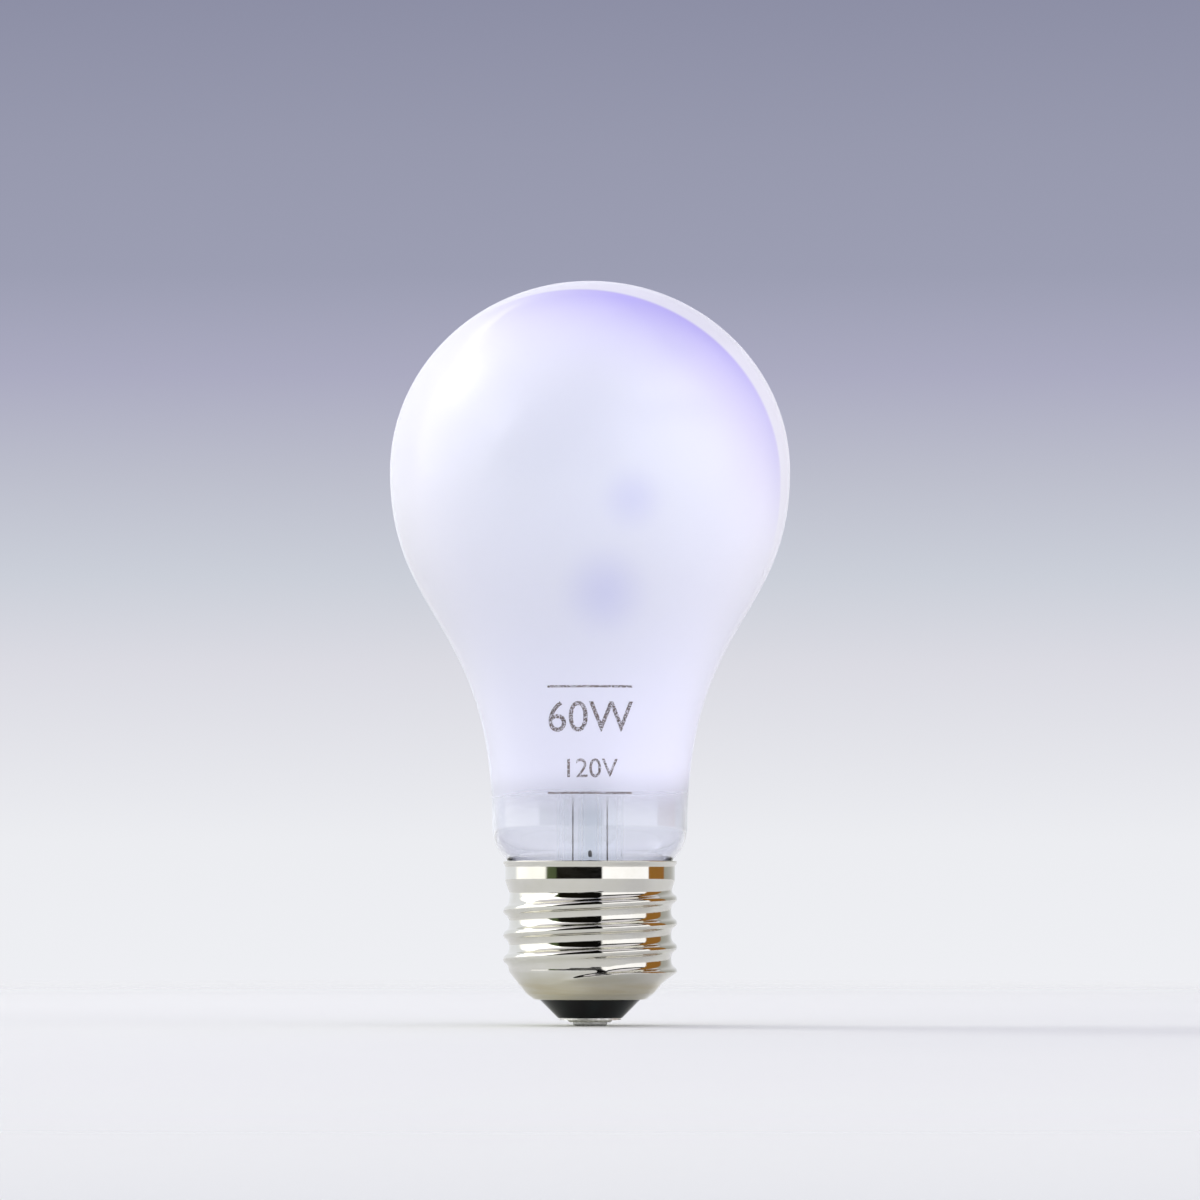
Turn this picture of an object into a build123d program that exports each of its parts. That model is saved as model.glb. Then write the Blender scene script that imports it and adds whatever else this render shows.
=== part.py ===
from build123d import *
from math import acos, cos, hypot, pi, radians, sin, tan
import os

os.makedirs("parts", exist_ok=True)

# Incandescent lamp with a round frosted bulb and a medium screw cap.
# The origin is the lowest point of the centre contact and +Z runs up the lamp's axis.
# The front, where the mark is printed, faces -Y. Sizes are in millimetres.

# Bulb
LAMP_HEIGHT = 112.1
GLOBE_DIAMETER = 60.3
EQUATOR_Z = 83.4
ROUND_RATIO = 0.5523
GLASS_WALL = 0.6
NECK_STEP = 3.3
NECK_RISE = 5.3
SHOULDER_PULL = 22.6
NECK_PULL = 31.4
HIP_BEND = 7.0
SEAL_BEND = 4.8
SEAL_GAP = 0.45
SEAL_DEPTH = 5.5

# Screw cap
SHELL_WALL = 0.25
THREAD_CREST_RADIUS = 13.1
THREAD_DEPTH = 1.0
THREAD_CREST_ARC = 0.7
THREAD_PITCH = 3.629
THREAD_Z = 8.2
THREAD_START_ANGLE = -150.0
THREAD_FADE_ANGLE = 90.0
THREAD_STEP_ANGLE = 30.0
THREAD_START_SINK = 1.6
THREAD_RUNOUT = 0.8
SINK_MARGIN = 0.15
ROOT_LAND = 0.07
BLEND_DROP = 1.8
BLEND_STEP = 1.3
BLEND_ANGLE = 35.0
COLLAR_STEP = 0.7
COLLAR_SLOPE_HEIGHT = 1.9
COLLAR_HEIGHT = 2.8
LIP_STEP = 0.3
LIP_Z = 24.7
LIP_HEIGHT = 0.3
LIP_FLARE = 0.4
CURL_DROP = 0.1
CURL_BREAK_STEP = 2.5
CURL_FOLD = 1.2
CURL_WIDTH = 2.0
CURL_HEIGHT = 0.9
CURL_END_Z = 3.95
CAP_BEND = 0.6

# Insulator and contacts
INSULATOR_TIP_RADIUS = 4.85
INSULATOR_FILL = 3.45
INSULATOR_HOLE_RADIUS = 1.5
BOSS_STEP = 0.35
CONTACT_MARGIN = 0.2
CONTACT_RIM = 1.55
CONTACT_SHEET = 0.3
CONTACT_HOLE_RADIUS = 0.6
SOLDER_MARGIN = 0.5
SOLDER_ROUND = 0.7
SOLDER_HEIGHT = 0.55
SIDE_SOLDER_RADIUS = 1.1
SIDE_SOLDER_OFFSET = 0.2

# Stem of the mount
STEM_RADIUS = 5.0
STEM_WALL = 1.0
STEM_HEIGHT = 21.3
PINCH_HEIGHT = 3.5
PRESS_HEIGHT = 8.5
PRESS_FLOOR = 2.0
PRESS_THICKNESS = 3.8
PRESS_EDGE = 1.2
EXHAUST_RADIUS = 1.8
EXHAUST_WALL = 0.7
EXHAUST_DROP = 8.2
EXHAUST_TAPER = 3.2
BLOW_HOLE_RADIUS = 0.8
ARBOR_RADIUS = 1.1
ARBOR_HEIGHT = 17.0
BUTTON_RADIUS = 2.1
BUTTON_HEIGHT = 2.6

# Wires and filament
LEAD_SPREAD = 2.6
INNER_LEAD_DIAMETER = 0.6
INNER_LEAD_RISE = 2.0
INNER_LEAD_BEND = 1.5
SEAL_WIRE_DIAMETER = 0.45
SEAL_WIRE_OVERLAP = 1.0
OUTER_LEAD_DIAMETER = 0.25
OUTER_LEAD_BEND = 1.0
SIDE_LEAD_DROP = 2.3
SIDE_LEAD_GAP = 0.095
SIDE_LEAD_BEND = 0.1
SIDE_LEAD_RISE = 0.6
COLLAR_LEAD_GAP = 0.225
LIP_LEAD_ARCH = 0.4
LIP_LEAD_END = 0.35
FILAMENT_Z = 79.4
FILAMENT_RING_RADIUS = 10.5
FILAMENT_COIL_DIAMETER = 0.7
LEAD_ANGLE = 45.0
SUPPORT_DIAMETER = 0.3
SUPPORT_RISE = 0.4
SUPPORT_BEND = 2.0
SUPPORT_LOOP_GAP = 0.05
SUPPORT_ANGLES = (150.0, 90.0, 30.0)
CLAMP_DIAMETER = 1.3
CLAMP_LENGTH = 1.6

# Cement between the neck and the cap
CEMENT_RISE = 1.4
CEMENT_DROP = 0.7

# Radii of the cap and, from its inside, of the neck
root_radius = THREAD_CREST_RADIUS - THREAD_DEPTH
collar_radius = root_radius + COLLAR_STEP
lip_radius = collar_radius + LIP_STEP
curl_break_radius = root_radius - CURL_BREAK_STEP
curl_hole_radius = curl_break_radius - CURL_WIDTH
seal_radius = root_radius - SHELL_WALL - SEAL_GAP
neck_radius = seal_radius + NECK_STEP
globe_radius = GLOBE_DIAMETER / 2

# Heights of the cap and of the pieces that sit in it
collar_z = LIP_Z - COLLAR_HEIGHT
collar_foot_z = collar_z - COLLAR_SLOPE_HEIGHT
lip_foot_z = LIP_Z - LIP_HEIGHT - LIP_FLARE
seal_z = LIP_Z - SEAL_DEPTH
neck_z = LIP_Z + NECK_RISE
press_z = seal_z + STEM_HEIGHT
press_top_z = press_z + PRESS_HEIGHT
stem_bore_z = press_z - PRESS_FLOOR
button_z = press_top_z + ARBOR_HEIGHT


def turned(outline):
    """Solid turned about the axis from a closed outline, drawn as radius and height."""
    return revolve(Plane.XZ * make_face(outline), Axis.Z)


def disc(radius, low, high):
    """Upright cylinder on the axis between two heights."""
    return extrude(Plane.XY.offset(low) * Circle(radius), high - low)


def arc_point(centre_radius, centre_z, radius, angle):
    """Point of an arc as radius and height."""
    return (centre_radius + radius * cos(angle), centre_z + radius * sin(angle))


def round_wire(points, diameter, bend):
    """Wire of one diameter along straight runs with rounded bends."""
    path = FilletPolyline(*points, radius=bend)
    start = Plane(path @ 0, z_dir=path % 0)
    return sweep(start * Circle(diameter / 2), path=path)


# Glass bulb: a smooth crown, one long curve from the globe down to the neck,
# then an inward bend and its reverse down to the seal.
hip_angle = acos(1 - NECK_STEP / (HIP_BEND + SEAL_BEND))
hip_centre = neck_radius - HIP_BEND
seal_centre = seal_radius + SEAL_BEND
seal_top_z = neck_z - (HIP_BEND + SEAL_BEND) * sin(hip_angle)


def bulb_solid(inset):
    """Solid of the bulb's outline, moved in by inset."""
    globe = globe_radius - inset
    neck = neck_radius - inset
    seal = seal_radius - inset
    top_z = LAMP_HEIGHT - inset
    hip_bend = HIP_BEND - inset
    seal_bend = SEAL_BEND + inset
    outline = Bezier(
        (0, top_z),
        (ROUND_RATIO * globe, top_z),
        (globe, EQUATOR_Z + ROUND_RATIO * (top_z - EQUATOR_Z)),
        (globe, EQUATOR_Z),
    )
    outline += Bezier(
        (globe, EQUATOR_Z),
        (globe, EQUATOR_Z - SHOULDER_PULL + inset),
        (neck, neck_z + NECK_PULL + inset),
        (neck, neck_z),
    )
    hip_middle = arc_point(hip_centre, neck_z, hip_bend, -hip_angle / 2)
    hip_end = arc_point(hip_centre, neck_z, hip_bend, -hip_angle)
    seal_middle = arc_point(seal_centre, seal_top_z, seal_bend, pi - hip_angle / 2)
    outline += ThreePointArc((neck, neck_z), hip_middle, hip_end)
    outline += ThreePointArc(hip_end, seal_middle, (seal, seal_top_z))
    outline += Polyline((seal, seal_top_z), (seal, seal_z), (0, seal_z), (0, top_z))
    return turned(outline)


envelope_solid = bulb_solid(0)
glass_bulb = envelope_solid - bulb_solid(GLASS_WALL)


# Screw shell: one sheet with a rolled thread. The outside and the inside are built
# the same way, the inside moved in by the wall, and their faces are closed to a sheet.
half_pitch = THREAD_PITCH / 2
arc_sum = (half_pitch ** 2 + THREAD_DEPTH ** 2) / (2 * THREAD_DEPTH)
thread_root_arc = arc_sum - THREAD_CREST_ARC
thread_end_angle = 360 * (collar_foot_z + THREAD_RUNOUT - THREAD_Z) / THREAD_PITCH
root_land_radius = root_radius + ROOT_LAND


def eased(share):
    """Share from 0 to 1 with a soft start and end."""
    share = min(1, share)
    return share ** 2 * (3 - 2 * share)


def ridge_path(crest, sink_start, sink_end):
    """Helix of the ridge's crest that sinks into the shell at both ends."""
    span = thread_end_angle - THREAD_START_ANGLE
    steps = round(span / THREAD_STEP_ANGLE)
    points = []
    for i in range(steps + 1):
        angle = THREAD_START_ANGLE + span * i / steps
        rise = eased((angle - THREAD_START_ANGLE) / THREAD_FADE_ANGLE)
        fall = eased((thread_end_angle - angle) / THREAD_FADE_ANGLE)
        radius = crest - sink_start * (1 - rise) - sink_end * (1 - fall)
        turn = radians(angle)
        height = THREAD_Z + THREAD_PITCH * angle / 360
        points.append((radius * cos(turn), radius * sin(turn), height))
    return Spline(*points)


def blend(inset):
    """Space above the cone that carries the first turn down to the curl."""
    climb = tan(radians(BLEND_ANGLE))
    blend_radius = root_radius - BLEND_STEP
    wide = THREAD_CREST_RADIUS + SHELL_WALL
    low_z = THREAD_Z - BLEND_DROP - (blend_radius - curl_hole_radius) * climb
    low_z = low_z + inset / cos(radians(BLEND_ANGLE))
    high_z = low_z + (wide - curl_hole_radius) * climb
    return turned(
        Polyline(
            (0, low_z),
            (curl_hole_radius, low_z),
            (wide, high_z),
            (wide, LIP_Z),
            (0, LIP_Z),
            close=True,
        )
    )


def ridge(inset):
    """Swept ridge of the thread, its faces moved in by inset."""
    crest = THREAD_CREST_RADIUS - inset
    crest_arc = THREAD_CREST_ARC - inset
    root_arc = thread_root_arc + inset
    crest_centre = THREAD_CREST_RADIUS - THREAD_CREST_ARC
    root_centre = root_radius + thread_root_arc
    lean = (root_centre - crest_centre) / arc_sum
    side = half_pitch / arc_sum
    flank_point = (crest_centre + crest_arc * lean, crest_arc * side)
    foot_radius = root_land_radius - inset
    foot_angle = acos((root_centre - foot_radius) / root_arc)
    foot_point = (foot_radius, half_pitch - root_arc * sin(foot_angle))
    middle_angle = (acos(lean) + foot_angle) / 2
    middle_point = (
        root_centre - root_arc * cos(middle_angle),
        half_pitch - root_arc * sin(middle_angle),
    )
    deep = curl_break_radius - inset

    def at(point, sign):
        return (point[0] - crest, sign * point[1])

    outline = ThreePointArc(at(flank_point, -1), (0, 0), at(flank_point, 1))
    outline += ThreePointArc(at(flank_point, 1), at(middle_point, 1), at(foot_point, 1))
    outline += Polyline(
        at(foot_point, 1),
        at((deep, foot_point[1]), 1),
        at((deep, foot_point[1]), -1),
        at(foot_point, -1),
    )
    outline += ThreePointArc(at(foot_point, -1), at(middle_point, -1), at(flank_point, -1))
    sink = crest - foot_radius + SINK_MARGIN
    path = ridge_path(crest, sink + THREAD_START_SINK, sink)
    turn = radians(THREAD_START_ANGLE)
    place = Plane(path @ 0, x_dir=(cos(turn), sin(turn), 0), z_dir=(sin(turn), -cos(turn), 0))
    guide = Edge.make_line((0, 0, (path @ 0).Z), (0, 0, (path @ 1).Z))
    return sweep(place * make_face(outline), path=path, binormal=guide) & blend(inset)


shell_line = FilletPolyline(
    (curl_hole_radius, CURL_END_Z),
    (curl_break_radius - CURL_FOLD, CURL_END_Z),
    (curl_break_radius, CURL_END_Z + CURL_HEIGHT),
    (root_land_radius, THREAD_Z - CURL_DROP),
    (root_land_radius, collar_foot_z),
    (collar_radius, collar_z),
    (collar_radius, lip_foot_z),
    (lip_radius, LIP_Z - LIP_HEIGHT),
    (lip_radius, LIP_Z),
    radius=CAP_BEND,
)
inner_line = offset(shell_line, SHELL_WALL, side=Side.LEFT, closed=False)


def cap_solid(line, inset):
    """Solid inside a profile of the cap, with the ridge of the thread on it."""
    foot, top = sorted([line @ 0, line @ 1], key=lambda end: end.Y)
    outline = line + Polyline((top.X, top.Y), (0, top.Y), (0, CURL_END_Z), (foot.X, CURL_END_Z))
    if inset > 0:
        outline += Line((foot.X, CURL_END_Z), (foot.X, foot.Y))
    return turned(outline) + ridge(inset)


cap_outside = cap_solid(shell_line, 0)
cap_inside = cap_solid(inner_line, SHELL_WALL)
outer_faces = cap_outside.faces().sort_by(Axis.Z)
inner_faces = cap_inside.faces().sort_by(Axis.Z)
sheet_faces = outer_faces[1:-1] + inner_faces[1:-1]
sheet_faces += (outer_faces[0] - inner_faces[0]).faces()
sheet_faces += (outer_faces[-1] - inner_faces[-1]).faces()
screw_shell = Solid(Shell(sheet_faces)).fix()


# Insulator: glass moulded into the lower shell, with a cone and a boss below it.
contact_radius = INSULATOR_TIP_RADIUS - CONTACT_MARGIN
boss_radius = contact_radius - CONTACT_RIM
boss_top_radius = boss_radius + CONTACT_SHEET
boss_z = SOLDER_HEIGHT + CONTACT_SHEET
tip_z = boss_z + BOSS_STEP
fill_z = CURL_END_Z + INSULATOR_FILL
insulator_cone = turned(
    Polyline(
        (0, CURL_END_Z),
        (curl_hole_radius, CURL_END_Z),
        (INSULATOR_TIP_RADIUS, tip_z),
        (boss_top_radius, tip_z),
        (boss_top_radius - BOSS_STEP, boss_z),
        (0, boss_z),
        close=True,
    )
)
insulator_fill = cap_inside & disc(THREAD_CREST_RADIUS, CURL_END_Z, fill_z)
insulator = insulator_cone + insulator_fill - disc(INSULATOR_HOLE_RADIUS, boss_z, fill_z)

# Centre contact: a pressed plate under the insulator, with a hole for the lead.
centre_contact = turned(
    Polyline(
        (CONTACT_HOLE_RADIUS, SOLDER_HEIGHT),
        (boss_radius, SOLDER_HEIGHT),
        (boss_radius + BOSS_STEP, tip_z - CONTACT_SHEET),
        (contact_radius, tip_z - CONTACT_SHEET),
        (contact_radius, tip_z),
        (boss_top_radius, tip_z),
        (boss_top_radius - BOSS_STEP, boss_z),
        (CONTACT_HOLE_RADIUS, boss_z),
        close=True,
    )
)


# Stem: a flare tube whose rim meets the neck, pinched flat at the top to hold the wires.
flare_bend = seal_radius - GLASS_WALL - STEM_RADIUS
flare_z = seal_z + flare_bend
flare_edge = STEM_RADIUS + flare_bend
rim_z = seal_z - STEM_WALL
stem_bore = STEM_RADIUS - STEM_WALL
flare_outer = ThreePointArc(
    (STEM_RADIUS, flare_z),
    arc_point(flare_edge, flare_z, flare_bend, 1.25 * pi),
    (flare_edge, seal_z),
)
flare_outer += Polyline(
    (flare_edge, seal_z),
    (seal_radius, seal_z),
    (seal_radius, rim_z),
    (0, rim_z),
    (0, press_top_z),
    (STEM_RADIUS, press_top_z),
    (STEM_RADIUS, flare_z),
)
flare_inner = ThreePointArc(
    (stem_bore, flare_z),
    arc_point(flare_edge, flare_z, flare_bend + STEM_WALL, 1.25 * pi),
    (flare_edge, rim_z),
)
flare_inner += Polyline(
    (flare_edge, rim_z),
    (0, rim_z),
    (0, stem_bore_z),
    (stem_bore, stem_bore_z),
    (stem_bore, flare_z),
)


def pinch(drop):
    """Block with the side view of the pinched tube, its slope lowered by drop."""
    wide = seal_radius + STEM_WALL
    half = PRESS_THICKNESS / 2
    corners = [
        (wide, 0),
        (wide, press_z - PINCH_HEIGHT - drop),
        (STEM_RADIUS, press_z - PINCH_HEIGHT - drop),
        (half, press_z - drop),
        (half, press_top_z),
    ]
    corners += [(-y, z) for y, z in reversed(corners)]
    return extrude(Plane.YZ * make_face(Polyline(*corners, close=True)), wide, both=True)


slope_run = STEM_RADIUS - PRESS_THICKNESS / 2
slope_drop = STEM_WALL * hypot(slope_run, PINCH_HEIGHT) / slope_run
stem_body = turned(flare_outer) & pinch(0)
stem_body = fillet(stem_body.edges().group_by(Axis.Z)[-1], PRESS_EDGE)
stem_room = turned(flare_inner) & pinch(slope_drop)
blow_hole = Plane((0, 0, stem_bore_z), z_dir=(0, -1, 1)) * Cylinder(
    BLOW_HOLE_RADIUS, STEM_RADIUS, align=(Align.CENTER, Align.CENTER, Align.MIN)
)

# Exhaust tube: open at the top inside the stem, tipped off to a point at the bottom.
exhaust_tip_z = seal_z - EXHAUST_DROP
taper_z = exhaust_tip_z + EXHAUST_TAPER
exhaust_bore = EXHAUST_RADIUS - EXHAUST_WALL
exhaust_tube = turned(
    Bezier(
        (0, exhaust_tip_z),
        (EXHAUST_WALL, taper_z - EXHAUST_RADIUS),
        (EXHAUST_RADIUS, taper_z - EXHAUST_WALL),
        (EXHAUST_RADIUS, taper_z),
    )
    + Polyline(
        (EXHAUST_RADIUS, taper_z),
        (EXHAUST_RADIUS, stem_bore_z),
        (exhaust_bore, stem_bore_z),
        (exhaust_bore, taper_z),
    )
    + Bezier(
        (exhaust_bore, taper_z),
        (exhaust_bore, taper_z - EXHAUST_WALL / 2),
        (exhaust_bore / 2, taper_z - EXHAUST_WALL),
        (0, taper_z - EXHAUST_WALL),
    )
    + Line((0, taper_z - EXHAUST_WALL), (0, exhaust_tip_z))
)


# Filament: the fine coil is drawn as the round strand it fills.
ring_end = arc_point(0, 0, FILAMENT_RING_RADIUS, radians(-LEAD_ANGLE))
ring_sweep = 180 + 2 * LEAD_ANGLE
ring_path = Pos(0, 0, FILAMENT_Z) * CenterArc((0, 0), FILAMENT_RING_RADIUS, -LEAD_ANGLE, ring_sweep)
ring_start = Plane(ring_path @ 0, z_dir=ring_path % 0)
filament = sweep(ring_start * Circle(FILAMENT_COIL_DIAMETER / 2), path=ring_path)

# Wires. A side is -1 for the centre contact's wires and 1 for the cap's.
seal_wire_z = stem_bore_z - SEAL_WIRE_OVERLAP
inner_lead_z = press_top_z - SEAL_WIRE_OVERLAP


def inner_lead(side):
    """Wire from the press to the filament's end, with a clamp around that end."""
    end = (side * ring_end[0], ring_end[1], FILAMENT_Z)
    foot = side * LEAD_SPREAD
    points = [(foot, 0, inner_lead_z), (foot, 0, press_top_z + INNER_LEAD_RISE), end]
    wire = round_wire(points, INNER_LEAD_DIAMETER, INNER_LEAD_BEND)
    along = (side * -ring_end[1], ring_end[0], 0)
    clamp = Plane(end, z_dir=along) * Cylinder(CLAMP_DIAMETER / 2, CLAMP_LENGTH)
    return wire + clamp - filament


def seal_wire(side):
    """Short wire sealed in the press."""
    wire = disc(SEAL_WIRE_DIAMETER / 2, seal_wire_z, inner_lead_z)
    return Pos(side * LEAD_SPREAD, 0, 0) * wire


inner_lead_centre = inner_lead(-1)
inner_lead_side = inner_lead(1)
seal_wire_centre = seal_wire(-1)
seal_wire_side = seal_wire(1)
outer_lead_centre = round_wire(
    [
        (-LEAD_SPREAD, 0, seal_wire_z),
        (-LEAD_SPREAD, 0, exhaust_tip_z + OUTER_LEAD_BEND),
        (0, 0, fill_z),
        (0, 0, SOLDER_HEIGHT / 2),
    ],
    OUTER_LEAD_DIAMETER,
    OUTER_LEAD_BEND,
)

# The side lead leaves the flare, runs up between neck and shell and bends over the lip.
lead_radius = OUTER_LEAD_DIAMETER / 2
under_z = seal_z - SIDE_LEAD_DROP
neck_run = seal_radius + lead_radius + SIDE_LEAD_GAP
collar_run = collar_radius - SHELL_WALL - lead_radius - COLLAR_LEAD_GAP
outer_lead_side = round_wire(
    [
        (LEAD_SPREAD, 0, seal_wire_z),
        (LEAD_SPREAD, 0, seal_z),
        (LEAD_SPREAD / 2, (STEM_RADIUS + neck_run) / 2, under_z),
        (0, neck_run, under_z),
        (0, neck_run, collar_foot_z + SIDE_LEAD_RISE),
        (0, collar_run, collar_z),
        (0, collar_run, lip_foot_z - LIP_FLARE),
        (0, lip_radius - SHELL_WALL - lead_radius, LIP_Z + lead_radius),
        (0, lip_radius - lead_radius, LIP_Z + LIP_LEAD_ARCH),
        (0, lip_radius + LIP_LEAD_END, LIP_Z + LIP_LEAD_ARCH / 2),
    ],
    OUTER_LEAD_DIAMETER,
    SIDE_LEAD_BEND,
)

# Solder on the centre contact, and a bead that holds the side lead on the lip.
solder_radius = boss_radius - SOLDER_MARGIN
solder_flat = solder_radius - SOLDER_ROUND
centre_solder = turned(
    Line((0, 0), (solder_flat, 0))
    + Bezier(
        (solder_flat, 0),
        (solder_radius, 0),
        (solder_radius, SOLDER_HEIGHT / 2),
        (solder_radius, SOLDER_HEIGHT),
    )
    + Polyline(
        (solder_radius, SOLDER_HEIGHT),
        (CONTACT_HOLE_RADIUS, SOLDER_HEIGHT),
        (CONTACT_HOLE_RADIUS, boss_z),
        (0, boss_z + CONTACT_HOLE_RADIUS),
        (0, 0),
    )
)
centre_solder -= outer_lead_centre
bead = Pos(0, lip_radius + SIDE_SOLDER_OFFSET, LIP_Z) * Sphere(SIDE_SOLDER_RADIUS)
side_solder = bead - cap_outside - envelope_solid - outer_lead_side

# Supports: three wires from the button, each with a loop around the filament.
loop_radius = (FILAMENT_COIL_DIAMETER + SUPPORT_DIAMETER) / 2 + SUPPORT_LOOP_GAP


def support_wire(angle):
    """Wire from the button to its loop, turned about the axis."""
    points = [
        (ARBOR_RADIUS / 2, 0, button_z),
        (2 * BUTTON_RADIUS, 0, button_z + SUPPORT_RISE),
        (FILAMENT_RING_RADIUS, 0, FILAMENT_Z - loop_radius),
    ]
    wire = round_wire(points, SUPPORT_DIAMETER, SUPPORT_BEND)
    loop_place = Plane((FILAMENT_RING_RADIUS, 0, FILAMENT_Z), z_dir=(0, 1, 0))
    loop = loop_place * Torus(loop_radius, SUPPORT_DIAMETER / 2)
    return Rot(0, 0, angle) * (wire + loop)


supports = [support_wire(angle) for angle in SUPPORT_ANGLES]
button = Pos(0, button_z) * Ellipse(BUTTON_RADIUS, BUTTON_HEIGHT / 2)
button &= Pos(BUTTON_RADIUS, button_z) * Rectangle(2 * BUTTON_RADIUS, 2 * BUTTON_HEIGHT)
arbor_rod = disc(ARBOR_RADIUS, press_top_z, button_z) + revolve(Plane.XZ * button, Axis.Z)
for support in supports:
    arbor_rod -= support

stem_flare = stem_body - stem_room - blow_hole
for wire in (inner_lead_centre, inner_lead_side, seal_wire_centre, seal_wire_side):
    stem_flare -= wire

cement_ring = disc(collar_radius, seal_z + CEMENT_RISE, LIP_Z - CEMENT_DROP) & cap_inside
basing_cement = cement_ring - envelope_solid - outer_lead_side

nodes = {
    "glass_bulb": glass_bulb,
    "stem_flare": stem_flare,
    "exhaust_tube": exhaust_tube,
    "arbor_rod": arbor_rod,
    "inner_lead_centre": inner_lead_centre,
    "seal_wire_centre": seal_wire_centre,
    "outer_lead_centre": outer_lead_centre,
    "inner_lead_side": inner_lead_side,
    "seal_wire_side": seal_wire_side,
    "outer_lead_side": outer_lead_side,
    "support_wire_1": supports[0],
    "support_wire_2": supports[1],
    "support_wire_3": supports[2],
    "filament": filament,
    "basing_cement": basing_cement,
    "screw_shell": screw_shell,
    "insulator": insulator,
    "centre_contact": centre_contact,
    "centre_solder": centre_solder,
    "side_solder": side_solder,
}

for name, shape in nodes.items():
    print(name, len(shape.solids()), shape.is_valid, round(shape.volume, 3))
    export_step(shape, f"parts/{name}.step")
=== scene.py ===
from math import acos, atan2, ceil, cos, pi, radians, sin, sqrt, tan

import bmesh
import bpy
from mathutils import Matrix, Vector


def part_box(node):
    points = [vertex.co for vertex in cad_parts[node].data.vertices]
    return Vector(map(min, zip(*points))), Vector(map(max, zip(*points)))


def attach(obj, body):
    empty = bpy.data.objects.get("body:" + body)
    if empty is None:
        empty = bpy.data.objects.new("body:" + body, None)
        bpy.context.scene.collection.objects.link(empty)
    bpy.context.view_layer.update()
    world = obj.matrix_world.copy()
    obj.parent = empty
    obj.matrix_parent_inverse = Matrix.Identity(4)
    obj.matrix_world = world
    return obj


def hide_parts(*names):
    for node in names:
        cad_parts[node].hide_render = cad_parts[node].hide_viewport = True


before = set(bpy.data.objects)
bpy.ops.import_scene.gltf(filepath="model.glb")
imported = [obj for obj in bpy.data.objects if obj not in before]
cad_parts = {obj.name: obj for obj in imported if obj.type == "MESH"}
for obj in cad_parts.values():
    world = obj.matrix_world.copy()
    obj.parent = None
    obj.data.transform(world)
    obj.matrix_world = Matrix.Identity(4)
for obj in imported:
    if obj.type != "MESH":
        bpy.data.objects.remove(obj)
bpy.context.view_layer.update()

# Frosted incandescent lamp with a screw cap, in metres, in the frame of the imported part.
# +Z runs up the lamp's axis, and -Y is the front with the print.

bl_info = {
    "name": "Frosted lamp bulb",
    "version": (1, 0, 0),
    "blender": (4, 5, 0),
    "location": "View3D > Sidebar > Lamp",
    "description": "Dresses a packed screw cap lamp: glass, cap, print, mount and studio",
    "category": "Object",
}

MM = 0.001
BULB_LOW, BULB_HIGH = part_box("glass_bulb")
SHELL_LOW, SHELL_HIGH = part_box("screw_shell")
FILAMENT_LOW, FILAMENT_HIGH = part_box("filament")

# Outline of the bulb
GLOBE_RADIUS = 30.15 * MM
EQUATOR_Z = 83.4 * MM
ROUND_PULL = 0.5523
NECK_RADIUS = 14.7 * MM
NECK_Z = 30.0 * MM
SHOULDER_PULL = 22.6 * MM
NECK_PULL = 31.4 * MM
SEAL_RADIUS = 11.4 * MM
HIP_BEND = 7.0 * MM
SEAL_BEND = 4.8 * MM
POLE_RADIUS = 0.02 * MM
DOME_STEPS = 40
SHOULDER_STEPS = 56
HIP_STEPS = 12
SEAL_STEPS = 10

# Tones of the frosted coat, as shares of its tint, and the tone of the clear glass below it
CLOUD_SHARE = (0.97, 0.97, 0.97)
# The middle share darkens the coat as painted shade where it faces straight on
MIDDLE_SHADE_SHARE = (0.89, 0.92, 0.95)
LOW_SHARE = (0.93, 0.94, 1.0)
# The violet share is the coat's violet tint deepened as painted shade on the upper right, away
# from the key light
VIOLET_SHADE_SHARE = (0.57, 0.51, 1.0)
# The mount share is the colour of the painted shadows of the mount
MOUNT_SHADOW_SHARE = (0.6, 0.62, 0.93)
CLEAR_TONE = (0.93, 0.94, 0.99)

# Where the tones lie: ranges of height, of how far the glass turns away (0 is straight on, as the
# layer weight gives it), and of how far it leans to the violet side, the upper right, where the
# violet tint is deepened as painted shade
LOW_HEIGHTS = (45 * MM, 80 * MM)
VIOLET_SHADE_HEIGHTS = (EQUATOR_Z - 15 * MM, BULB_HIGH.z - 8 * MM)
VIOLET_SHADE_SIDE = (0.75, 0.0, 0.66)
VIOLET_SHADE_LEAN = (0.1, 0.7)
VIOLET_SHADE_TURN = (0.08, 0.5)
MIDDLE_SHADE_TURN = (0.02, 0.4)
TURN_BLEND = 0.35
# Crescent at the rim where the coat turns back from violet to pale: a painted reflection of the
# bright backdrop
REFLECTION_CRESCENT_LEAN = 0.25
REFLECTION_CRESCENT_EDGE = (0.72, 0.75)
FROST_WAVE = 4 * MM

# Painted shadows of the mount on the coat: sideways place, height, reach and depth
PAINTED_MOUNT_SHADOWS = (
    (6.2 * MM, 77.4 * MM, 6.0 * MM, 0.34),
    (2.2 * MM, 64.0 * MM, 8.0 * MM, 0.42),
)

# Print: the bend's step and the ink's lift, then shares of the larger letters' size
PRINT_STEP = 0.5 * MM
INK_LIFT = 0.02 * MM
POWER_LIFT = 0.42
VOLTAGE_SIZE = 0.62
VOLTAGE_LIFT = -0.75
RULE_WIDTH = 2.0
RULE_HEIGHT = 0.05
RULE_LIFTS = {"rule_high": 1.15, "rule_low": -1.3}

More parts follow.
